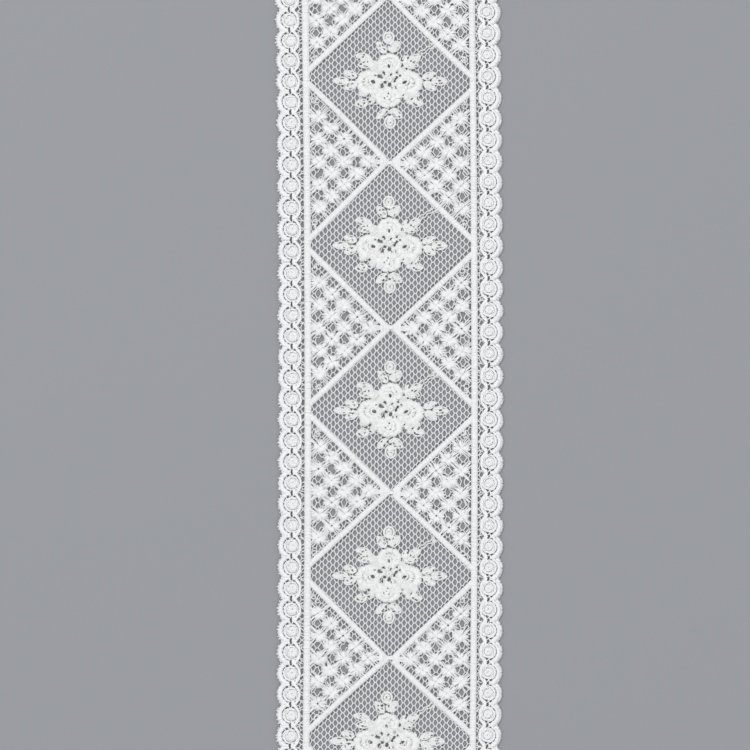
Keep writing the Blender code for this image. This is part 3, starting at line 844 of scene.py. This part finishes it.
def star():
    """Four fans round the middle, in which the middle stitch is the longest."""
    eye = rng.choice(STAR_EYES)
    lean = rng.normal(-3.0, 6.0)
    tables = []
    for quarter in range(4):
        middle = 90 * quarter + lean + rng.normal(0.0, 4.0)
        spread = np.linspace(-1.0, 1.0, FAN_STITCHES)
        turns = middle + spread * FAN_HALF_ANGLES[quarter % 2] * rng.uniform(0.85, 1.1)
        ways = on_oval(turns + rng.normal(0.0, FAN_ERROR, FAN_STITCHES))
        reach = STAR_REACH[quarter % 2] * rng.uniform(0.9, 1.08)
        reach = reach * (1.0 - 0.1 * spread ** 2) + rng.normal(0.0, 0.2, FAN_STITCHES)
        tables.append(stitches(ways * eye, ways * reach[:, None], "petal"))
    return moved(np.concatenate(tables), *rng.normal(0.0, 0.12, 2))


def inside_share(place, way):
    """How much of a thread from a star stays within the triangle. Its rail lies along x = 0."""
    shares = [1.0]
    if way[0] < 0:
        shares.append((place[0] - 0.5) / -way[0])
    room = (RAIL_X - LINE_TURN_X - place[0]) * LINE_SLOPE - abs(place[1]) - 0.4
    closing = (way[1] * np.sign(place[1]) if place[1] else abs(way[1])) + way[0] * LINE_SLOPE
    if closing > 0:
        shares.append(room / closing)
    return min(shares)


def star_places(crossing):
    places = []
    for column in range(STAR_COLUMNS):
        for step in range(STAR_COLUMNS - column):
            y = (2 * step - (STAR_COLUMNS - column) + 1) * STAR_STEP[1]
            if abs(crossing + y) < HALF:
                places.append((STAR_FIRST_X + column * STAR_STEP[0], y))
    return places


def star_threads(places):
    """Running threads on the slant: to the next stars, or to the lines round the triangle."""
    known = {tuple(np.round(place, 2)) for place in places}
    tables = []
    for place in np.array(places):
        for across_way in (-1, 1):
            for along_way in (-1, 1):
                way = np.array(STAR_STEP) * (across_way, along_way)
                joined = tuple(np.round(place + way, 2)) in known
                share = rng.uniform(*STRAND_REACH, len(STRANDS)) if joined else inside_share(place, way)
                offset = np.array([-way[1], way[0]]) / np.linalg.norm(way)
                begin = STRANDS + rng.normal(0.0, 0.5 * STRAND_ERROR, len(STRANDS))
                end = begin + rng.normal(0.0, STRAND_ERROR, len(STRANDS))
                starts = place + way * 0.14 + offset * 0.55 * begin[:, None]
                ends = place + way * np.reshape(share, (-1, 1)) + offset * 0.95 * end[:, None]
                tables.append(stitches(starts, ends, "strand", bow=0.06 * (begin + end)))
            if rng.random() < CARRIED_SHARE:
                carried = across_way * way * min(CARRIED_REACH, inside_share(place, way))
                tables.append(stitches(place - carried, place + carried, "running", lift=0.12))
    return np.concatenate(tables)


def corner_threads():
    """Satin that fills the corner at the crossing, and slack loops in the two corners at the rail."""
    asides = np.array([-0.75, -0.28, 0.22, 0.7])
    tables = [stitches(points(21.5, asides), points(24.4, 0.6 * asides), "petal")]
    corner = np.arange(23.7, RAIL_X - LINE_TURN_X, 0.3)
    height = (RAIL_X - LINE_TURN_X - corner) * LINE_SLOPE + 0.3
    tables.append(stitches(points(corner, -height), points(corner, height), "petal"))
    for way in (-1, 1):
        for _ in range(2):
            x, y = rng.uniform(1.8, 3.6), way * rng.uniform(18.6, 21.0)
            loop = on_oval(np.linspace(0, 330, 40), rng.uniform(0.55, 0.85)) + (x, y)
            tables.append(along(loop, "running", 0.8))
            tables.append(stitches((x, y), (x + rng.uniform(-0.8, 0.8), y + way * 2.0), "running", bow=0.3))
    return np.concatenate(tables)


# %% Sew the star fillings
STAR_SHIFTS = {
    # side: how far across and along at each crossing
    -1: ((0.2, 0.2), (0.26, 0.26), (0.13, -0.16), (0.03, 0.23), (0.03, -0.13), (0.0, 0.1)),
    1: ((-0.25, -0.3), (-0.31, -0.33), (-0.41, -0.42), (-0.61, -0.42), (-0.58, -0.49), (-0.45, -0.4)),
}
for number, crossing in enumerate(crossings, start=1):
    for name, side in (("left", -1), ("right", 1)):
        shift = STAR_SHIFTS[side][number - 1]
        places = star_places(crossing)
        tables = [moved(star(), x, y) for x, y in places]
        table = np.concatenate([*tables, star_threads(places), corner_threads()])
        for column in (0, 2):
            table[:, column] = PATTERN_X + side * (RAIL_X - table[:, column]) + shift[0]
            table[:, column + 1] += crossing + shift[1]
        table[:, 4] *= -side
        sew(f"{name}_stars_{number}", [table], "star", f"star_filling_{name}_{number}")

# %% [markdown]
# ## Rose sprays
# A spray is four roses round a tiny star, with leaves and buds. A rose is stitched from the rim inwards:
# a ring of broad petals, a ring of small ones half on top of it, and a raised ring round the open eye.
# The stitches lean, so the petals seem to turn about the eye.

# %% Stitches of a rose
def petal_ring(centre, inner, outer, petals, count, lean, yarn, turn=0.0, ragged=0.02):
    """A ring of leaning stitches between two ovals, whose outer ends swell into petals."""
    angles = np.linspace(0.0, 360.0, count, endpoint=False) + turn
    swell = np.abs(np.cos(np.radians(angles * petals / 2)))
    reach = 0.88 + 0.12 * swell ** 0.6 + rng.normal(0.0, ragged, count)
    starts = on_oval(angles, *inner) + centre
    ends = on_oval(angles + lean, outer[0] * reach, outer[1] * reach) + centre
    rows = stitches(starts, ends, yarn, bow=0.15)
    rows[:, 8] += 0.08 * (swell - 0.6)
    return rows


def eye_ring(x, y, half_width, half_length, turn, outer, count):
    """Stitches from the rim of the open eye, which is oval, to the petals round it."""
    ring = turned(on_oval(np.arange(count) * 360.0 / count, half_width, half_length), turn)
    ways = ring / np.linalg.norm(ring, axis=1)[:, None]
    reach = outer * rng.uniform(0.8, 1.15, count)[:, None]
    return stitches(ring * 1.1 + (x, y), ways * reach + (x, y), "eye")


def rose(x, y, half_width, half_height, eye_x, eye_y, eye_width, eye_length, eye_turn):
    first = rng.uniform(0.0, 40.0)
    inner_x, inner_y = (x + 2 * eye_x) / 3, (y + 2 * eye_y) / 3
    ways = on_oval(np.arange(0.0, 360.0, 24.0))
    rim = (half_width - 0.8, half_height - 0.8)
    petals = np.concatenate([
        petal_ring((x, y), (1.9, 1.8), (half_width, half_height), 9, 72, 12.0, "outer_petal", first),
        petal_ring(
            (inner_x, inner_y), (1.1, 1.1), (2.9, 2.7), 7, 48, 16.0, "inner_petal", first + 25.0, 0.16)])
    return np.concatenate([
        stitches((eye_x, eye_y) + ways * 0.95, (x, y) + ways * rim, "underlay"),
        open_up(petals, [(eye_x, eye_y, eye_width + 0.1, eye_length + 0.1, eye_turn)]),
        eye_ring(eye_x, eye_y, eye_width, eye_length, eye_turn, 1.5, 26),
    ])


print("stitches in one rose:", len(rose(*ROSES[0])))

# %% [markdown]
# Round the roses sit leaves and buds. A leaf is an outline of running stitches with a rib, and slanted
# stitches inside, which part round a slit on each side. A bud is an oval of satin in a double outline.
# Small ovals of satin fill the corners between the roses.

# %% Stitches of the leaves, buds and stems
LEAVES = (
    # x, y, length, width, direction of the tip in degrees
    (-2.5, 10.8, 4.6, 2.4, 128), (1.9, 11.1, 4.4, 3.0, 44), (-8.3, 7.4, 5.6, 2.8, 162),
    (-7.8, 5.2, 5.0, 2.4, 182), (8.4, 7.2, 4.2, 2.6, 24), (7.0, 5.2, 5.0, 2.6, -12),
    (5.2, 6.9, 2.6, 1.5, 60), (-15.9, -0.2, 5.4, 2.4, 180), (-12.8, 1.9, 4.4, 2.4, 162),
    (-12.7, -1.8, 4.4, 2.6, 206), (16.4, -0.3, 5.2, 2.7, -3), (13.0, 1.5, 4.6, 2.1, 20),
    (13.2, -1.9, 4.6, 2.6, -35), (-9.2, -7.6, 4.2, 2.7, 190), (9.0, -7.3, 4.0, 2.8, -10),
    (-2.6, -11.1, 4.4, 2.2, 222), (2.1, -11.0, 4.6, 2.8, -35),
)
BUDS = (
    # x, y, length, width, direction of the tip in degrees
    (-0.1, 14.0, 3.8, 3.5, 90), (0.05, -13.8, 4.0, 3.6, -90),
)
PATCHES = (
    # x, y, length, width, direction in degrees
    (-4.3, 3.9, 4.8, 4.4, 135), (4.6, 3.2, 4.4, 3.0, 45), (-4.4, -4.0, 4.0, 3.0, 225),
    (4.4, -4.2, 4.0, 3.0, -45), (-8.2, -3.6, 4.4, 3.6, 230), (7.7, -4.2, 4.6, 3.8, -40),
    (-5.6, -6.6, 3.4, 2.2, 230), (5.9, -6.6, 3.4, 2.2, -50), (6.0, 6.3, 2.4, 2.2, 45),
    (-1.9, 0.3, 4.4, 3.9, 75), (1.9, 0.3, 4.4, 3.9, 105), (0.0, -2.3, 3.6, 2.4, 0),
    (0.0, 2.4, 3.6, 2.0, 0),
)
SPRAY_STEMS = (
    # from x, y, to x, y
    (-0.2, 8.5, -0.1, 12.6), (-10.5, -0.6, -14.0, -0.4), (10.3, -0.8, 14.2, -0.6),
    (-0.4, -9.0, 0.0, -12.6), (-5.5, -5.0, -7.6, -7.0), (5.8, -5.0, 8.0, -6.9), (-3.2, 5.6, -6.2, 6.6),
    (3.2, 5.8, 6.6, 6.0),
)
STAR_BRIDGES = (
    # direction in degrees, reach from the small star
    (95, 2.4), (40, 3.0), (-48, 3.2), (-112, 2.8), (180, 3.2), (148, 2.8),
)


def leaf_edge(length, width, side):
    share = np.linspace(0.0, 1.0, 9)
    return points((share - 0.5) * length, side * width / 2 * np.sin(math.pi * share ** 0.9) ** 0.62)


def leaf(x, y, length, width, direction):
    """Slanted satin on both sides of a rib, in an outline, with a slit on each side."""
    tables = [along([(-length / 2, 0.0), (length / 2, 0.0)], "leaf", 1.6, 0.2)]
    slits = []
    for side in (-1, 1):
        edge = leaf_edge(length, width, side)
        tables.append(along(edge, "outline", 0.8, 0.18))
        roots = np.arange(-0.44 * length, 0.36 * length, 0.36)
        reach = np.interp(roots + 0.6, edge[:, 0], np.abs(edge[:, 1])) - 0.05
        tables.append(stitches(points(roots, side * 0.05), points(roots + 0.6, side * reach), "leaf"))
        slit_x = rng.uniform(-0.25, 0.2) * length
        slits.append((slit_x, side * width * 0.32, rng.uniform(0.22, 0.42), rng.uniform(0.05, 0.1), 0))
    return moved(open_up(np.concatenate(tables), slits), x, y, direction)


def bud(x, y, length, width, direction):
    """A filled oval in a double outline, with a thin groove inside the outline."""
    tables = [oval(0.0, 0.0, length * 0.72, width * 0.72, 0, "leaf", 0.1, 0.36)]
    for size in (0.43, 0.5):
        ring = on_oval(np.linspace(0, 360, 30), length * size, width * size)
        tables.append(along(ring, "outline", 0.9, 0.2))
    tables.append(oval(-length * 0.3, 0.0, length * 0.4, width * 0.8, 0, "leaf", 0.04))
    return moved(open_up(np.concatenate(tables), [(0.05, 0.1, 0.1, 0.06, 0)]), x, y, direction)


def small_star():
    """The tiny star between the roses, with the bridges that join it to them."""
    ways = on_oval(np.arange(0, 360, 30))
    tables = [stitches(ways * 0.1, ways * 1.3, "petal", lift=0.15)]
    for turn, reach in STAR_BRIDGES:
        for offset in (-0.32, 0.0, 0.32):
            tables.append(moved(stitches((0.7, offset), (reach, offset * 1.6), "leaf"), 0.0, 0.0, turn))
    return moved(np.concatenate(tables), 0.0, 0.4)


# %% [markdown]
# In every diamond the machine carried the thread on from a leaf to the border without cutting it. That
# leaves two thin, slack threads with a tangle at their end.

# %% Sew the sprays
JUMPS = (
    ((9.3, 8.6), (10.2, 9.6), (11.4, 9.9), (12.4, 10.9), (13.3, 11.0), (14.7, 12.3), (14.2, 12.8)),
    ((10.0, 7.3), (10.8, 8.7), (11.7, 9.0), (12.8, 10.3), (13.9, 10.4), (15.4, 11.4), (15.3, 10.6)),
)
TANGLE = (14.6, 11.4)


def jump_threads():
    tables = [along(path, "running", 0.9, 0.2, 0.15) for path in JUMPS]
    for _ in range(7):
        spot = TANGLE + rng.normal(0.0, 0.55, 2)
        way = rng.normal(0.0, 1.0, 2)
        end = spot + way / np.linalg.norm(way) * 1.3
        tables.append(stitches(spot, end, "running", bow=rng.uniform(-0.5, 0.5)))
    return np.concatenate(tables)


SPRAY_SHIFTS = ((0.0, 0.05), (-0.48, 0.08), (-0.25, 0.0), (-0.6, 0.03), (-0.87, 0.1))
for number, middle in enumerate(diamond_rows, start=1):
    shift = SPRAY_SHIFTS[number - 1]
    tables = [rose(*row) for row in ROSES]
    tables += [leaf(*row) for row in LEAVES] + [bud(*row) for row in BUDS]
    tables += [oval(*row, "patch") for row in PATCHES]
    tables += [across([row[:2], row[2:]], 0.8, "leaf", 0.42) for row in SPRAY_STEMS]
    holes = np.array(SPRAY_HOLES)
    holes[holes[:, 3] <= SLIT, 2:4] += SLIT_SPREAD
    table = open_up(np.concatenate([*tables, small_star()]), holes)
    table = moved(np.concatenate([table, jump_threads()]), PATTERN_X + shift[0], middle + shift[1])
    sew(f"rose_spray_stitches_{number}", [table], "rose", f"rose_spray_{number}")
print("stitch triangles in all:", total_triangles)

# %% [markdown]
# ## Table, light and camera
# The lace lies on a plain cool grey table, pale but dark enough for white thread and open net to read.
# A large soft light from the upper left gives the stitches their relief, and a wide pale sky fills the
# shadows. The camera looks straight down through a long lens.

# %% Stage the strip
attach(net, "root")
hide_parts("tulle_ground")

deselect_all()
bpy.ops.mesh.primitive_plane_add(size=14.0)
floor = bpy.context.object
floor.name = "table"
table_finish = bpy.data.materials.new("table_paint")
table_finish.use_nodes = True
paint = table_finish.node_tree.nodes["Principled BSDF"]
paint.inputs["Base Color"].default_value = (0.31, 0.315, 0.33, 1.0)
paint.inputs["Roughness"].default_value = 0.85
floor.data.materials.append(table_finish)

world = bpy.data.worlds.new("studio")
world.use_nodes = True
sky = world.node_tree.nodes["Background"].inputs
sky["Color"].default_value = (0.93, 0.96, 1.0, 1.0)
sky["Strength"].default_value = 0.56
bpy.context.scene.world = world


def soft_light(name, spot, size, power):
    bpy.ops.object.light_add(type="AREA", location=spot)
    light = bpy.context.object
    light.name = name
    light.data.size = size
    light.data.energy = power
    light.rotation_euler = (-light.location).to_track_quat("-Z", "Y").to_euler()


soft_light("key", (-0.5, 0.55, 1.5), 1.0, 12.6)
soft_light("fill", (0.8, -0.4, 1.4), 1.2, 5.0)

VIEW_MIDDLE = (-4.64, 11.79)
VIEW_WIDTH = 245.8
LENS = 200.0
SENSOR = 36.0
camera_data = bpy.data.cameras.new("camera")
camera_data.lens = LENS
camera_data.sensor_width = SENSOR
camera = bpy.data.objects.new("camera", camera_data)
camera.location = (VIEW_MIDDLE[0] * MM, VIEW_MIDDLE[1] * MM, (VIEW_WIDTH * LENS / SENSOR + 1.0) * MM)
bpy.context.scene.collection.objects.link(camera)
bpy.context.scene.camera = camera
bpy.context.scene.view_settings.view_transform = "Standard"
